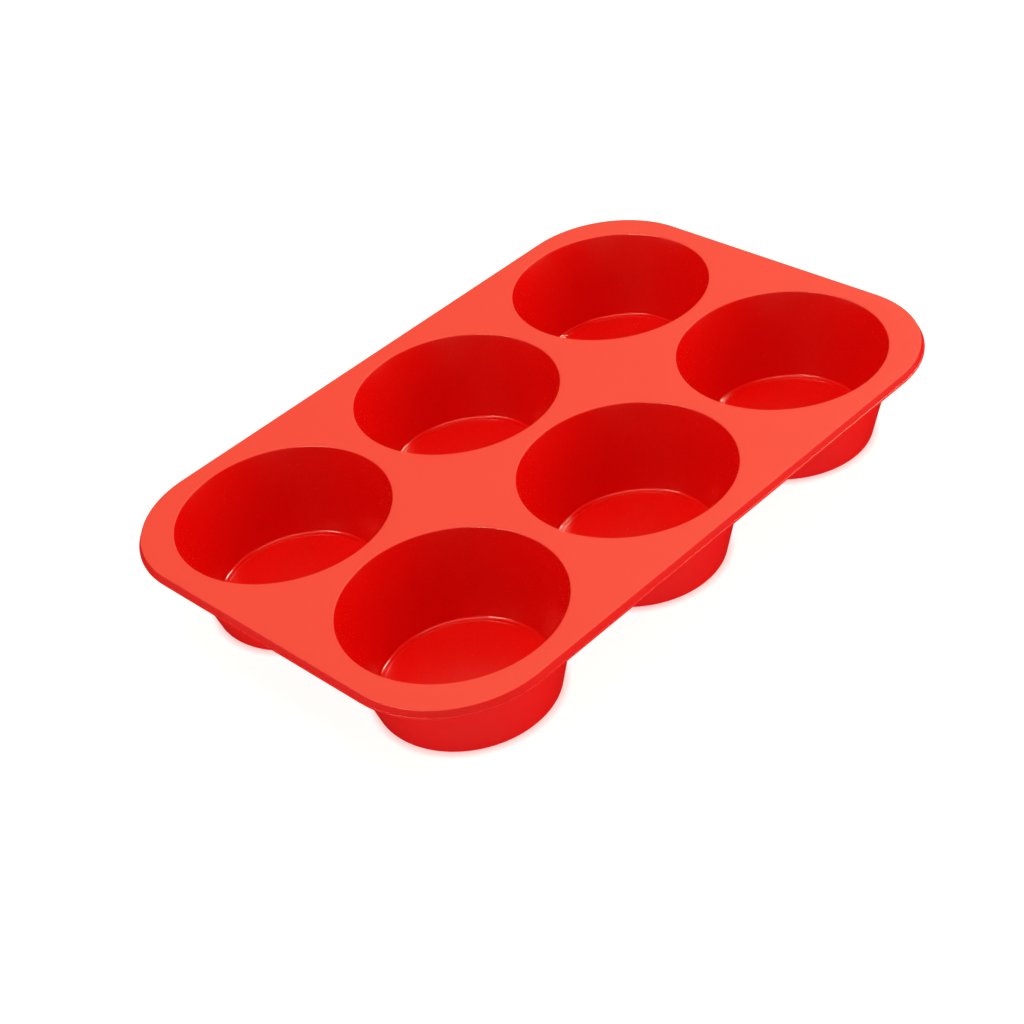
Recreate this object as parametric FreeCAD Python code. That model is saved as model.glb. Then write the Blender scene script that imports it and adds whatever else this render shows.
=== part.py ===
import FreeCAD, Part
import math
import os

# Six-cup silicone muffin pan, in millimetres.
#
# Frame: the origin is the centre of the pan's footprint on the surface it stands on.
# +X runs along the long side to the right, +Y to the back row of cups, +Z up.
#
# The pan is one moulding. It is modelled as its moulded regions, each a closed solid:
# the flat deck, the bead round its edge, and for each cup a tapered wall and a flat floor.
# Neighbouring regions meet face to face on vertical surfaces, where the sheet is flat.

# Driving dimensions
MOUTH_RADIUS = 41.0         # cup mouth, where the wall would meet the deck with no rounding
FLOOR_RADIUS = 31.6         # inside of the cup, where the wall's line would meet the floor's
HEIGHT = 39.0               # deck top above the surface the pan stands on
SHEET = 3.0                 # thickness of the silicone in the deck and the walls
FLOOR_SHEET = 4.0           # thickness of the silicone in the floors, which carry the pan
PITCH_X = 91.0              # between cup centres along the long side
PITCH_Y = 89.6              # between the two rows of cups
END_MARGIN = 10.0           # from a cup mouth to the bead's foot, at the pan's ends
SIDE_MARGIN = 9.4           # and along its long sides
CORNER_RADIUS = 42.0        # plan radius of the bead's foot at the corners

# Bead round the deck's edge
BEAD_WIDTH = 4.5
BEAD_HEIGHT = 3.3
BEAD_DRAFT = 0.8            # how far its side leans out from the deck top down to the ledge
BEAD_TOP_ROUND = 0.6
BEAD_UNDER_ROUND = 0.25
LEDGE_OUT = 0.4             # parting ledge at the foot of the bead, how far it stands out
LEDGE_HEIGHT = 0.7
LEDGE_TOP_ROUND = 0.2
LEDGE_ROOT_ROUND = 0.1
LEDGE_FOOT_ROUND = 0.15

# Fine step round each cup's floor, where the wall ends on a narrow raised ring
STEP_WIDTH = 0.8
STEP_HEIGHT = 0.25
STEP_EDGE_ROUND = 0.1
STEP_FOOT_ROUND = 0.12

# Rounding of a cup
MOUTH_ROUND = 0.6           # deck into the inside of the wall
FLOOR_ROUND = 1.0           # inside of the wall into the raised ring
UNDER_ROUND = 1.2           # underside of the deck into the outside of the wall
BASE_ROUND = 1.6            # outside of the wall into the base

# Flat land kept on a wall node beyond its roundings, up to the neighbouring node
LAND = 0.2

COLUMNS = {"left": -PITCH_X, "middle": 0.0, "right": PITCH_X}
ROWS = {"front": -PITCH_Y / 2, "back": PITCH_Y / 2}

# Worked out from the dimensions above
HALF_LENGTH = PITCH_X + MOUTH_RADIUS + END_MARGIN
HALF_WIDTH = PITCH_Y / 2 + MOUTH_RADIUS + SIDE_MARGIN
DECK_BOTTOM = HEIGHT - SHEET
TAPER = math.atan2(MOUTH_RADIUS - FLOOR_RADIUS, HEIGHT - FLOOR_SHEET)
WALL_ACROSS = SHEET / math.cos(TAPER)       # wall thickness measured level
OUTER_MOUTH_RADIUS = MOUTH_RADIUS - SHEET * math.tan(TAPER) + WALL_ACROSS
OUTER_BASE_RADIUS = FLOOR_RADIUS - FLOOR_SHEET * math.tan(TAPER) + WALL_ACROSS
RING_TOP = FLOOR_SHEET + STEP_HEIGHT
RING_OUTER_RADIUS = FLOOR_RADIUS + STEP_HEIGHT * math.tan(TAPER)
RING_INNER_RADIUS = RING_OUTER_RADIUS - FLOOR_ROUND - STEP_WIDTH
# The corners where wall meets deck or base open by the same angle, a right angle and the taper.
TANGENT_PER_ROUND = 1.0 / math.tan((math.pi / 2 + TAPER) / 2)
DECK_HOLE_RADIUS = OUTER_MOUTH_RADIUS + UNDER_ROUND * TANGENT_PER_ROUND + LAND
FLOOR_DISC_RADIUS = RING_INNER_RADIUS - STEP_FOOT_ROUND - LAND

UP = FreeCAD.Vector(0, 0, 1)
ORIGIN = FreeCAD.Vector(0, 0, 0)


def rounding(before, corner, after, radius):
    """Start, middle and end of the arc that rounds a corner."""
    back = (before - corner).normalize()
    ahead = (after - corner).normalize()
    half = back.getAngle(ahead) / 2
    reach = radius / math.tan(half)
    inwards = (back + ahead).normalize()
    middle = corner + inwards * (radius / math.sin(half) - radius)
    return corner + back * reach, middle, corner + ahead * reach


def section(corners):
    """A face in the XZ plane from (x, z, radius) corners, each rounded to its radius."""
    points = [FreeCAD.Vector(x, 0, z) for x, z, _ in corners]
    arcs = []
    for i, (_, _, radius) in enumerate(corners):
        arcs.append(rounding(points[i - 1], points[i], points[(i + 1) % len(points)], radius))
    edges = []
    for i, (start, middle, end) in enumerate(arcs):
        next_start = arcs[(i + 1) % len(arcs)][0]
        if start != end:
            edges.append(Part.Arc(start, middle, end).toShape())
        edges.append(Part.LineSegment(end, next_start).toShape())
    return Part.Face(Part.Wire(edges))


def rounded_rectangle(half_length, half_width, radius, z):
    """A closed wire in plan: a smaller plain rectangle, offset outwards by the radius."""
    x = half_length - radius
    y = half_width - radius
    corners = [(x, -y), (x, y), (-x, y), (-x, -y), (x, -y)]
    rectangle = Part.makePolygon([FreeCAD.Vector(cx, cy, z) for cx, cy in corners])
    return rectangle.makeOffset2D(radius)


def make_deck():
    """The flat web between the cups, up to the inner edge of the bead."""
    outline = rounded_rectangle(HALF_LENGTH - BEAD_WIDTH, HALF_WIDTH - BEAD_WIDTH,
                                CORNER_RADIUS - BEAD_WIDTH, DECK_BOTTOM)
    deck = Part.Face(outline).extrude(UP * SHEET)
    for x in COLUMNS.values():
        for y in ROWS.values():
            centre = FreeCAD.Vector(x, y, DECK_BOTTOM)
            deck = deck.cut(Part.makeCylinder(DECK_HOLE_RADIUS, SHEET, centre, UP))
    return deck


def make_rim_bead():
    """The thicker bead round the deck's edge, with the parting ledge at its foot."""
    foot = HEIGHT - BEAD_HEIGHT
    inner = HALF_LENGTH - BEAD_WIDTH
    profile = section([
        (inner, HEIGHT, 0),
        (HALF_LENGTH - BEAD_DRAFT, HEIGHT, BEAD_TOP_ROUND),
        (HALF_LENGTH, foot + LEDGE_HEIGHT, LEDGE_ROOT_ROUND),
        (HALF_LENGTH + LEDGE_OUT, foot + LEDGE_HEIGHT, LEDGE_TOP_ROUND),
        (HALF_LENGTH + LEDGE_OUT, foot, LEDGE_FOOT_ROUND),
        (inner, foot, BEAD_UNDER_ROUND),
    ])
    path = rounded_rectangle(HALF_LENGTH, HALF_WIDTH, CORNER_RADIUS, HEIGHT)
    return path.makePipe(profile)


def make_cup_wall():
    """One tapered wall about the Z axis, from the deck's hole to the edge of the floor disc."""
    profile = section([
        (DECK_HOLE_RADIUS, HEIGHT, 0),
        (MOUTH_RADIUS, HEIGHT, MOUTH_ROUND),
        (RING_OUTER_RADIUS, RING_TOP, FLOOR_ROUND),
        (RING_INNER_RADIUS, RING_TOP, STEP_EDGE_ROUND),
        (RING_INNER_RADIUS, FLOOR_SHEET, STEP_FOOT_ROUND),
        (FLOOR_DISC_RADIUS, FLOOR_SHEET, 0),
        (FLOOR_DISC_RADIUS, 0, 0),
        (OUTER_BASE_RADIUS, 0, BASE_ROUND),
        (OUTER_MOUTH_RADIUS, DECK_BOTTOM, UNDER_ROUND),
        (DECK_HOLE_RADIUS, DECK_BOTTOM, 0),
    ])
    return profile.revolve(ORIGIN, UP, 360)


def make_cup_floor():
    """One flat floor about the Z axis."""
    return Part.makeCylinder(FLOOR_DISC_RADIUS, FLOOR_SHEET)


def export(shape, name):
    """Writes one node, and stops if it isn't one valid solid."""
    if not shape.isValid() or len(shape.Solids) != 1:
        raise ValueError(name + " isn't one valid solid")
    solid = shape.Solids[0]
    solid.exportStep("parts/" + name + ".step")
    print(f"{name}: {solid.Volume / 1000:.2f} cm3")


def main():
    os.makedirs("parts", exist_ok=True)
    export(make_deck(), "deck")
    export(make_rim_bead(), "rim_bead")
    wall = make_cup_wall()
    floor = make_cup_floor()
    for row, y in ROWS.items():
        for column, x in COLUMNS.items():
            place = FreeCAD.Vector(x, y, 0)
            export(wall.translated(place), f"cup_wall_{row}_{column}")
            export(floor.translated(place), f"cup_floor_{row}_{column}")


main()
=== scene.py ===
import math

import bmesh
import bpy
from mathutils import Matrix, Vector
from mathutils.geometry import delaunay_2d_cdt


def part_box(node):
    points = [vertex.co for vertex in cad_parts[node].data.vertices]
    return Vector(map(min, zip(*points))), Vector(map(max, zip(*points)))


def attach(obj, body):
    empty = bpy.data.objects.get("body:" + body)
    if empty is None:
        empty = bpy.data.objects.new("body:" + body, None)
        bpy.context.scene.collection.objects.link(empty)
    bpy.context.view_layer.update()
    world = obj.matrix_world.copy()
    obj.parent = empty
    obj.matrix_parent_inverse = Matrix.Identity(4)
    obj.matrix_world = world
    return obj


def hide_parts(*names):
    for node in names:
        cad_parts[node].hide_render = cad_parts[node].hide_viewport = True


# A one-piece silicone muffin pan, in metres. The CAD nodes give every place and the main sizes;
# the finer sections below are rebuilt here as dense smooth meshes and take the nodes' place.

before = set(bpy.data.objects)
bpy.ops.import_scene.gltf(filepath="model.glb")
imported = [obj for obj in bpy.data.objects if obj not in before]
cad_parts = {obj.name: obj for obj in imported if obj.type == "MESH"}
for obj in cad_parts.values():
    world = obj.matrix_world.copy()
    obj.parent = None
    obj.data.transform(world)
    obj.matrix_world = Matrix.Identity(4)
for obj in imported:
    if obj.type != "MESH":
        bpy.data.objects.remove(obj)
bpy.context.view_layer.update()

MM = 0.001

# Sections of the moulding
MOUTH_RADIUS = 41 * MM          # where the cup's wall would meet the deck
FLOOR_RADIUS = 31.6 * MM        # where the wall's line would meet the floor's
MOUTH_ROUND = 0.6 * MM
FLOOR_ROUND = 1.0 * MM
UNDER_ROUND = 1.2 * MM
BASE_ROUND = 1.6 * MM
STEP_WIDTH = 0.8 * MM           # fine raised ring round each floor
STEP_HEIGHT = 0.25 * MM
STEP_EDGE_ROUND = 0.1 * MM
STEP_FOOT_ROUND = 0.12 * MM
CORNER_RADIUS = 42 * MM         # the bead's foot at the corners, in plan
BEAD_DRAFT = 0.8 * MM           # how far the bead's side leans out from the deck to the ledge
BEAD_TOP_ROUND = 0.6 * MM
BEAD_UNDER_ROUND = 0.25 * MM
LEDGE_OUT = 0.4 * MM            # parting ledge at the foot of the rim's bead
LEDGE_HEIGHT = 0.7 * MM
LEDGE_TOP_ROUND = 0.2 * MM
LEDGE_ROOT_ROUND = 0.1 * MM
LEDGE_FOOT_ROUND = 0.15 * MM

# Silicone. The cloud is in the colour, the swell and the grain are in the relief.
DEEP_RED = (0.80, 0.0016, 0.0006)
DEEP_RED_DARK = (0.76, 0.0010, 0.0004)
# The deck's top is painted a paler coral: a painted sheen that stands in for the light the deck
# reflects.
DECK_SHEEN_RED = (0.88, 0.056, 0.040)
DECK_SHEEN_RED_DARK = (0.86, 0.050, 0.036)
DECK_ROUGHNESS = 0.7
OUTER_ROUGHNESS = 0.32
INNER_ROUGHNESS = 0.25          # inside the cups, which polished punches form
RING_ROUGHNESS = 0.07           # on the rounding and the raised ring beside the floors
ROUGHNESS_SPREAD = 0.03         # how far the grain moves the roughness either way
SPECULAR = 0.3
REFRACTION = 1.43
MATT_AND_SHEEN_FADE = 0.25 * MM           # how far down the deck's roundings its matt finish and its painted sheen fade out
CLOUD_SCALE = 28                # noise patterns per metre
SWELL_SCALE = 75
GRAIN_SCALE = 1500
NOISE_ROUGHNESS = 0.55
NOISE_LOW = 0.3                 # most of a noise pattern lies between these
NOISE_HIGH = 0.7
SWELL_DEPTH = 0.12 * MM
SWELL_STRENGTH = 0.5
GRAIN_DEPTH = 0.01 * MM
GRAIN_STRENGTH = 0.25

# How finely the meshes are divided
AROUND_CUP = 192
AROUND_CORNER = 32
ARC_STEPS = 8
LONGEST = 3.5 * MM
SHARP_ANGLE = math.radians(35)
INSIDE_ONLY = 1                 # the triangulation's output type that drops what lies outside
MERGE_DISTANCE = 1e-7

# Sizes that the frame gives
deck_low, deck_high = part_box("deck")
bead_low, bead_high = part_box("rim_bead")
DECK_TOP = deck_high.z
DECK_BOTTOM = deck_low.z
SHEET = DECK_TOP - DECK_BOTTOM
BEAD_FOOT = bead_low.z
FLOOR_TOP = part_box("cup_floor_front_left")[1].z
BEAD_WIDTH = bead_high.x - LEDGE_OUT - deck_high.x
CUPS = [f"{row}_{column}" for row in ("front", "back") for column in ("left", "middle", "right")]


def centre_of(node):
    """The middle of a node's box in plan."""
    low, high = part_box(node)
    return Vector(((low.x + high.x) / 2, (low.y + high.y) / 2))


def radius_of(node):
    """Half the width of a round node."""
    low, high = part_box(node)
    return (high.x - low.x) / 2


# Outlines

def rounded(corners):
    """Points round a closed outline of (x, z, radius) corners, with each rounding as chords."""
    points = []
    for i, (x, z, radius) in enumerate(corners):
        corner = Vector((x, z))
        if not radius:
            points.append(corner)
            continue
        back = (Vector(corners[i - 1][:2]) - corner).normalized()
        ahead = (Vector(corners[(i + 1) % len(corners)][:2]) - corner).normalized()
        half = back.angle(ahead) / 2
        centre = corner + (back + ahead).normalized() * radius / math.sin(half)
        start = corner + back * radius / math.tan(half) - centre
        turn = math.copysign(math.pi - 2 * half, ahead.cross(back))
        for step in range(ARC_STEPS + 1):
            angle = turn * step / ARC_STEPS
            points.append(centre + Matrix.Rotation(angle, 2) @ start)
    return points


def divided(points):
    """The closed outline with its long sides split evenly."""
    result = []
    for point, following in zip(points, points[1:] + points[:1]):
        count = max(1, math.ceil((following - point).length / LONGEST))
        result += [point.lerp(following, k / count) for k in range(count)]
    return result


def circle(centre, radius):
    """Stations round a circle: a point on it and the direction away from its centre."""
    stations = []
    for i in range(AROUND_CUP):
        angle = 2 * math.pi * i / AROUND_CUP
        outward = Vector((math.cos(angle), math.sin(angle)))
        stations.append((centre + outward * radius, outward))
    return stations


def deck_edge():
    """Stations round the line where the deck meets the rim's bead."""
    radius = CORNER_RADIUS - BEAD_WIDTH
    stations = []
    for i, (sx, sy) in enumerate([(1, -1), (1, 1), (-1, 1), (-1, -1)]):
        middle = Vector((sx * (deck_high.x - radius), sy * (deck_high.y - radius)))
        for step in range(AROUND_CORNER + 1):
            angle = math.pi / 2 * (i - 1 + step / AROUND_CORNER)
            outward = Vector((math.cos(angle), math.sin(angle)))
            stations.append((middle + outward * radius, outward))
    result = []
    for (point, outward), (following, _) in zip(stations, stations[1:] + stations[:1]):
        count = max(1, round((following - point).length / LONGEST))
        result += [(point.lerp(following, k / count), outward) for k in range(count)]
    return result


def lattice(outline):
    """Staggered rows of points over an outline's box."""
    low = Vector((min(p.x for p in outline), min(p.y for p in outline)))
    high = Vector((max(p.x for p in outline), max(p.y for p in outline)))
    points = []
    for row in range(1, int((high.y - low.y) / LONGEST)):
        for column in range(1, int((high.x - low.x) / LONGEST)):
            points.append(low + LONGEST * Vector((column + 0.5 * (row % 2), row)))
    return points


# Meshes

def as_piece(name, bm):
    """Turns a bmesh into an object that rides on the pan's only body."""
    bmesh.ops.recalc_face_normals(bm, faces=bm.faces)
    mesh = bpy.data.meshes.new(name)
    bm.to_mesh(mesh)
    bm.free()
    mesh.shade_smooth()
    mesh.set_sharp_from_angle(angle=SHARP_ANGLE)
    piece = bpy.data.objects.new(name, mesh)
    bpy.context.scene.collection.objects.link(piece)
    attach(piece, "root")
    return piece


def swept(name, profile, stations):
    """A closed piece: a closed (outward, z) profile carried round a closed row of stations."""
    bm = bmesh.new()
    rings = []
    for point, outward in stations:
        places = [point + outward * out for out, _ in profile]
        rings.append([bm.verts.new((p.x, p.y, z)) for p, (_, z) in zip(places, profile)])
    for ring, following in zip(rings, rings[1:] + rings[:1]):
        for i in range(len(ring)):
            bm.faces.new((ring[i - 1], ring[i], following[i], following[i - 1]))
    return as_piece(name, bm)


def plate(name, outline, holes, bottom, top):
    """A flat closed piece with round (centre, radius) holes, as an even net of triangles."""
    loops = [outline]
    for centre, radius in holes:
        loops.append([point for point, _ in circle(centre, radius)])
    points = []
    edges = []
    for loop in loops:
        first = len(points)
        points += loop
        edges += [(first + i, first + (i + 1) % len(loop)) for i in range(len(loop))]
    border = list(points)
    points += [p for p in lattice(outline) if all((p - b).length > LONGEST / 2 for b in border)]
    points, _, faces, _, _, _ = delaunay_2d_cdt(points, edges, [], INSIDE_ONLY, MERGE_DISTANCE)
    bm = bmesh.new()
    verts = [bm.verts.new((p.x, p.y, top)) for p in points]
    for face in faces:
        middle = sum((points[i] for i in face), Vector((0, 0))) / len(face)
        if all((middle - centre).length > radius for centre, radius in holes):
            bm.faces.new([verts[i] for i in face])
    bmesh.ops.delete(bm, geom=[v for v in bm.verts if not v.link_faces], context="VERTS")
    copied = bmesh.ops.extrude_face_region(bm, geom=list(bm.faces), use_keep_orig=True)["geom"]
    lower = [v for v in copied if isinstance(v, bmesh.types.BMVert)]
    bmesh.ops.translate(bm, verts=lower, vec=(0, 0, bottom - top))
    return as_piece(name, bm)


def make_deck():
    outline = [point for point, _ in deck_edge()]
    holes = [(centre_of("cup_wall_" + cup), radius_of("cup_wall_" + cup)) for cup in CUPS]
    deck = plate("pan_deck", outline, holes, DECK_BOTTOM, DECK_TOP)
    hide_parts("deck")
    return deck


def make_rim():
    ledge_top = BEAD_FOOT + LEDGE_HEIGHT
    profile = divided(rounded([
        (0, DECK_TOP, 0),
        (BEAD_WIDTH - BEAD_DRAFT, DECK_TOP, BEAD_TOP_ROUND),
        (BEAD_WIDTH, ledge_top, LEDGE_ROOT_ROUND),
        (BEAD_WIDTH + LEDGE_OUT, ledge_top, LEDGE_TOP_ROUND),
        (BEAD_WIDTH + LEDGE_OUT, BEAD_FOOT, LEDGE_FOOT_ROUND),
        (0, BEAD_FOOT, BEAD_UNDER_ROUND),
        (0, DECK_BOTTOM, 0),
    ]))
    rim = swept("pan_rim", profile, deck_edge())
    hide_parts("rim_bead")
    return rim


def make_cup_wall(cup):
    node = "cup_wall_" + cup
    hole = radius_of(node)
    disc = radius_of("cup_floor_" + cup)
    slope = (MOUTH_RADIUS - FLOOR_RADIUS) / (DECK_TOP - FLOOR_TOP)
    across = SHEET * math.hypot(1, slope)
    outer_base = FLOOR_RADIUS - FLOOR_TOP * slope + across
    outer_mouth = MOUTH_RADIUS - SHEET * slope + across
    ring_top = FLOOR_TOP + STEP_HEIGHT
    ring_outer = FLOOR_RADIUS + STEP_HEIGHT * slope
    ring_inner = ring_outer - FLOOR_ROUND - STEP_WIDTH
    profile = divided(rounded([
        (hole, DECK_TOP, 0),
        (MOUTH_RADIUS, DECK_TOP, MOUTH_ROUND),
        (ring_outer, ring_top, FLOOR_ROUND),
        (ring_inner, ring_top, STEP_EDGE_ROUND),
        (ring_inner, FLOOR_TOP, STEP_FOOT_ROUND),
        (disc, FLOOR_TOP, 0),
        (disc, 0, 0),
        (outer_base, 0, BASE_ROUND),
        (outer_mouth, DECK_BOTTOM, UNDER_ROUND),
        (hole, DECK_BOTTOM, 0),
    ]))
    wall = swept(f"cup_{cup}_wall", profile, circle(centre_of(node), 0))
    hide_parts(node)
    return wall


def make_cup_floor(cup):
    node = "cup_floor_" + cup
    outline = [point for point, _ in circle(centre_of(node), radius_of(node))]
    floor = plate(f"cup_{cup}_floor", outline, [], 0, FLOOR_TOP)
    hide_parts(node)
    return floor


# Materials

def shader_node(tree, kind, **values):
    """A shader node with its named inputs set. Spaces in input names are written as _."""
    made = tree.nodes.new("ShaderNode" + kind)
    for name, value in values.items():
        made.inputs[name.replace("_", " ")].default_value = value
    return made


def noise_in(tree, place, scale, detail):
    """A noise pattern in the pan's own space, the same on every piece, so that no seam shows."""
    pattern = shader_node(tree, "TexNoise", Scale=scale, Detail=detail,
                          Roughness=NOISE_ROUGHNESS)
    tree.links.new(place, pattern.inputs["Vector"])
    return pattern.outputs["Fac"]


def ranged(tree, value, from_low, from_high, to_low, to_high):
    """Maps a value from one range to another, and stays within it."""
    step = shader_node(tree, "MapRange", From_Min=from_low, From_Max=from_high,
                       To_Min=to_low, To_Max=to_high)
    tree.links.new(value, step.inputs["Value"])
    return step.outputs["Result"]


def mixed(tree, factor, low, high):
    """A colour between two, by a factor."""
    # A mix node repeats its socket names for each type of value, so sockets go by number here.
    mix = tree.nodes.new("ShaderNodeMix")
    mix.data_type = "RGBA"
    factor_in, first, second = mix.inputs[0], mix.inputs[6], mix.inputs[7]
    for target, colour in ((first, low), (second, high)):
        if isinstance(colour, tuple):
            target.default_value = (*colour, 1)
        else:
            tree.links.new(colour, target)
    tree.links.new(factor, factor_in)
    return mix.outputs[2]


def maths(tree, operation, *values):
    """A maths node over values that are numbers or other nodes' outputs."""
    made = tree.nodes.new("ShaderNodeMath")
    made.operation = operation
    for target, value in zip(made.inputs, values):
        if isinstance(value, float):
            target.default_value = value
        else:
            tree.links.new(value, target)
    return made.outputs[0]


def blended(tree, factor, low, high):
    """A number between two, by a factor."""
    change = maths(tree, "SUBTRACT", high, low)
    return maths(tree, "ADD", low, maths(tree, "MULTIPLY", factor, change))


def from_cup_axis(tree, x, y):
    """Distance in plan from the axis of the nearest cup."""
    along, across = centre_of("cup_wall_back_right")
    from_middle = maths(tree, "ABSOLUTE", x)
    from_end = maths(tree, "ABSOLUTE", maths(tree, "SUBTRACT", from_middle, along))
    column = maths(tree, "MINIMUM", from_middle, from_end)
    row = maths(tree, "SUBTRACT", maths(tree, "ABSOLUTE", y), across)
    squares = maths(tree, "ADD", maths(tree, "MULTIPLY", column, column),
                    maths(tree, "MULTIPLY", row, row))
    return maths(tree, "SQRT", squares)


def relief(tree, height, distance, strength, below=None):
    """Bump from a height pattern, laid over the bump below it."""
    bump = shader_node(tree, "Bump", Strength=strength, Distance=distance)
    tree.links.new(height, bump.inputs["Height"])
    if below:
        tree.links.new(below, bump.inputs["Normal"])
    return bump.outputs["Normal"]


def finish_zones(tree, place):
    """Masks for the deck's top, for all that lies outside the cup walls, and for the rings."""
    parts = tree.nodes.new("ShaderNodeSeparateXYZ")
    tree.links.new(place, parts.inputs[0])
    x, y, z = parts.outputs
    on_deck = ranged(tree, z, DECK_TOP - MATT_AND_SHEEN_FADE, DECK_TOP - MATT_AND_SHEEN_FADE / 4, 0, 1)
    middle_of_wall = ranged(tree, z, FLOOR_TOP, DECK_TOP, FLOOR_RADIUS + SHEET / 2,
                            MOUTH_RADIUS + SHEET / 2)
    outside = maths(tree, "GREATER_THAN", from_cup_axis(tree, x, y), middle_of_wall)
    above_floor = maths(tree, "GREATER_THAN", z, FLOOR_TOP + STEP_FOOT_ROUND / 4)
    near_floor = ranged(tree, z, FLOOR_TOP + FLOOR_ROUND, FLOOR_TOP + 2 * FLOOR_ROUND, 1, 0)
    ring = maths(tree, "MULTIPLY", above_floor, near_floor)
    return on_deck, outside, ring


def silicone():
    """Opaque red silicone: smooth inside the cups, satin outside, and matt on the deck, whose top
    is painted paler as a painted sheen.
    """
    material = bpy.data.materials.new("silicone")
    material.use_nodes = True
    tree = material.node_tree
    shader = tree.nodes["Principled BSDF"]
    shader.inputs["IOR"].default_value = REFRACTION
    shader.inputs["Specular IOR Level"].default_value = SPECULAR
    place = tree.nodes.new("ShaderNodeTexCoord").outputs["Object"]
    cloud = noise_in(tree, place, CLOUD_SCALE, detail=2)
    grain = noise_in(tree, place, GRAIN_SCALE, detail=3)
    swell = noise_in(tree, place, SWELL_SCALE, detail=1)
    on_deck, outside, ring = finish_zones(tree, place)

    deep = mixed(tree, cloud, DEEP_RED_DARK, DEEP_RED)
    # Painted sheen: the deck's top is mixed to a paler coral than the rest.
    painted_sheen = mixed(tree, cloud, DECK_SHEEN_RED_DARK, DECK_SHEEN_RED)
    colour = mixed(tree, on_deck, deep, painted_sheen)

    inner = blended(tree, ring, INNER_ROUGHNESS, RING_ROUGHNESS)
    side = blended(tree, outside, inner, OUTER_ROUGHNESS)
    finish = blended(tree, on_deck, side, DECK_ROUGHNESS)
    unevenness = ranged(tree, grain, NOISE_LOW, NOISE_HIGH, -ROUGHNESS_SPREAD, ROUGHNESS_SPREAD)
    roughness = maths(tree, "ADD", finish, unevenness)

    soft = relief(tree, swell, SWELL_DEPTH, SWELL_STRENGTH)
    fine = relief(tree, grain, GRAIN_DEPTH, GRAIN_STRENGTH, below=soft)
    tree.links.new(colour, shader.inputs["Base Color"])
    tree.links.new(roughness, shader.inputs["Roughness"])
    tree.links.new(fine, shader.inputs["Normal"])
    return material


# Setting

SOFTBOXES = [                   # name, azimuth, elevation, width and height in m, power in W
    ("softbox_overhead", 0, 90, 0.9, 0.9, 12),
    ("softbox_right", -40, 18, 0.9, 0.9, 11),
    ("softbox_back", 50, 48, 1.6, 1.0, 2.5),
    ("softbox_left", 140, 18, 0.9, 0.9, 4.5),
]
STRIPS = [                      # the same, for strips that only put highlights on the roundings
    ("strip_side", -2, 45, 0.2, 0.35, 25),
    ("strip_back", 178, 37, 0.8, 0.12, 32),
]
FRONT_FILL = ("fill_front", -130, 12, 0.9, 0.3, 1.7)      # shows in no reflection
LIGHT_DISTANCE = 1.5
WARM_WHITE = (1, 0.94, 0.68)
ROOM_LIGHT = 0.31
HORIZON_FADE = 0.2              # how far below the horizon the room's light ends, as a sine
FLOOR_SIZE = 30
FLOOR_SIDES = 64
FLOOR_WHITE = (0.42, 0.42, 0.42)
FLOOR_GLOW = 0.9
CONTACT_WIDTH = 4 * MM          # how far the painted shade where the cups stand reaches out
# colour of that painted shade, pink in place of the pan's red bounce light
CONTACT_SHADE = (0.95, 0.62, 0.62)
CONTACT_CLOSED = 0.45           # share of open sky at which that shade is full
CONTACT_OPEN = 0.85             # and at which there is none

# Camera: it looks down across the pan's front left corner, tipped a little to one side
LENS = 71.03
AIM_X = -43.1 * MM
AIM_Y = -27.6 * MM
VIEW_DISTANCE = 725.3 * MM
VIEW_HEADING = -39.71
VIEW_ELEVATION = 37.12
VIEW_ROLL = -10.35


def softbox(name, azimuth, elevation, width, height, power):
    """A warm flat light that faces the pan from a direction: azimuth 0 is +X, 90 is +Y."""
    light = bpy.data.lights.new(name, "AREA")
    light.shape = "RECTANGLE"
    light.size = width
    light.size_y = height
    light.energy = power
    light.color = WARM_WHITE
    lamp = bpy.data.objects.new(name, light)
    turn = (Matrix.Rotation(math.radians(azimuth), 4, "Z")
            @ Matrix.Rotation(math.radians(-elevation), 4, "Y"))
    towards = turn @ Vector((1, 0, 0))
    lamp.location = towards * LIGHT_DISTANCE
    lamp.rotation_euler = towards.to_track_quat("Z", "Y").to_euler()
    lamp.visible_camera = False
    bpy.context.scene.collection.objects.link(lamp)
    return lamp


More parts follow.
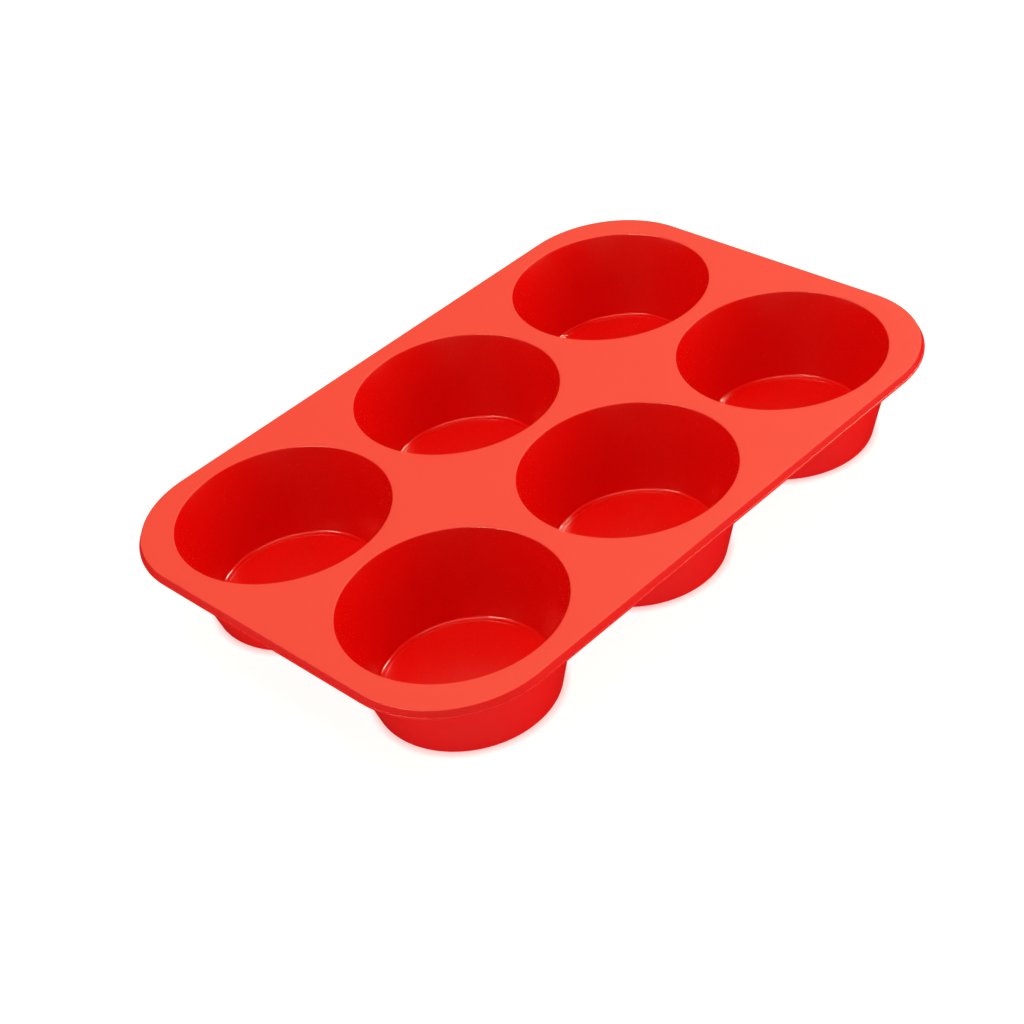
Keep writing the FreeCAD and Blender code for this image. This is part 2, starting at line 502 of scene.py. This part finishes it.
def make_floor():
    """A white studio floor that glows, with painted shade where the cups stand, and not mirrored in
    the pan.
    """
    bm = bmesh.new()
    bmesh.ops.create_circle(bm, cap_ends=True, segments=FLOOR_SIDES, radius=FLOOR_SIZE)
    mesh = bpy.data.meshes.new("studio_floor")
    bm.to_mesh(mesh)
    bm.free()
    floor = bpy.data.objects.new("studio_floor", mesh)
    bpy.context.scene.collection.objects.link(floor)
    material = bpy.data.materials.new("studio_white")
    material.use_nodes = True
    tree = material.node_tree
    shader = tree.nodes["Principled BSDF"]
    shader.inputs["Base Color"].default_value = (*FLOOR_WHITE, 1)
    shader.inputs["Roughness"].default_value = 1
    shader.inputs["Specular IOR Level"].default_value = 0
    # Painted shade: ambient occlusion darkens the floor's glow and tints it pink where the cups
    # stand, in place of their shadow and red bounce light.
    nearness = tree.nodes.new("ShaderNodeAmbientOcclusion")
    nearness.inputs["Distance"].default_value = CONTACT_WIDTH
    open_sky = ranged(tree, nearness.outputs["AO"], CONTACT_CLOSED, CONTACT_OPEN, 0, 1)
    glow = mixed(tree, open_sky, CONTACT_SHADE, (1, 1, 1))
    tree.links.new(glow, shader.inputs["Emission Color"])
    shader.inputs["Emission Strength"].default_value = FLOOR_GLOW
    mesh.materials.append(material)
    floor.visible_glossy = False


def make_camera():
    camera = bpy.data.cameras.new("camera")
    camera.lens = LENS
    eye = bpy.data.objects.new("camera", camera)
    turn = (Matrix.Rotation(math.radians(VIEW_HEADING), 4, "Z")
            @ Matrix.Rotation(math.radians(90 - VIEW_ELEVATION), 4, "X")
            @ Matrix.Rotation(math.radians(VIEW_ROLL), 4, "Z"))
    aim = Matrix.Translation((AIM_X, AIM_Y, DECK_TOP))
    eye.matrix_world = aim @ turn @ Matrix.Translation((0, 0, VIEW_DISTANCE))
    bpy.context.scene.collection.objects.link(eye)
    bpy.context.scene.camera = eye


def make_world():
    """A dim even room that darkens below the floor."""
    world = bpy.data.worlds.new("studio")
    world.use_nodes = True
    tree = world.node_tree
    parts = tree.nodes.new("ShaderNodeSeparateXYZ")
    tree.links.new(tree.nodes.new("ShaderNodeTexCoord").outputs["Generated"], parts.inputs[0])
    strength = ranged(tree, parts.outputs["Z"], -HORIZON_FADE, 0, 0, ROOM_LIGHT)
    tree.links.new(strength, tree.nodes["Background"].inputs["Strength"])
    tree.nodes["Background"].inputs["Color"].default_value = (*WARM_WHITE, 1)
    bpy.context.scene.world = world


pieces = [make_deck(), make_rim()]
for cup_name in CUPS:
    pieces.append(make_cup_wall(cup_name))
    pieces.append(make_cup_floor(cup_name))
red_silicone = silicone()
for piece in pieces:
    piece.data.materials.append(red_silicone)

make_floor()
make_camera()
make_world()
for settings in SOFTBOXES:
    softbox(*settings)
for settings in STRIPS:
    softbox(*settings).visible_diffuse = False
softbox(*FRONT_FILL).visible_glossy = False
bpy.context.scene.view_settings.view_transform = "Standard"
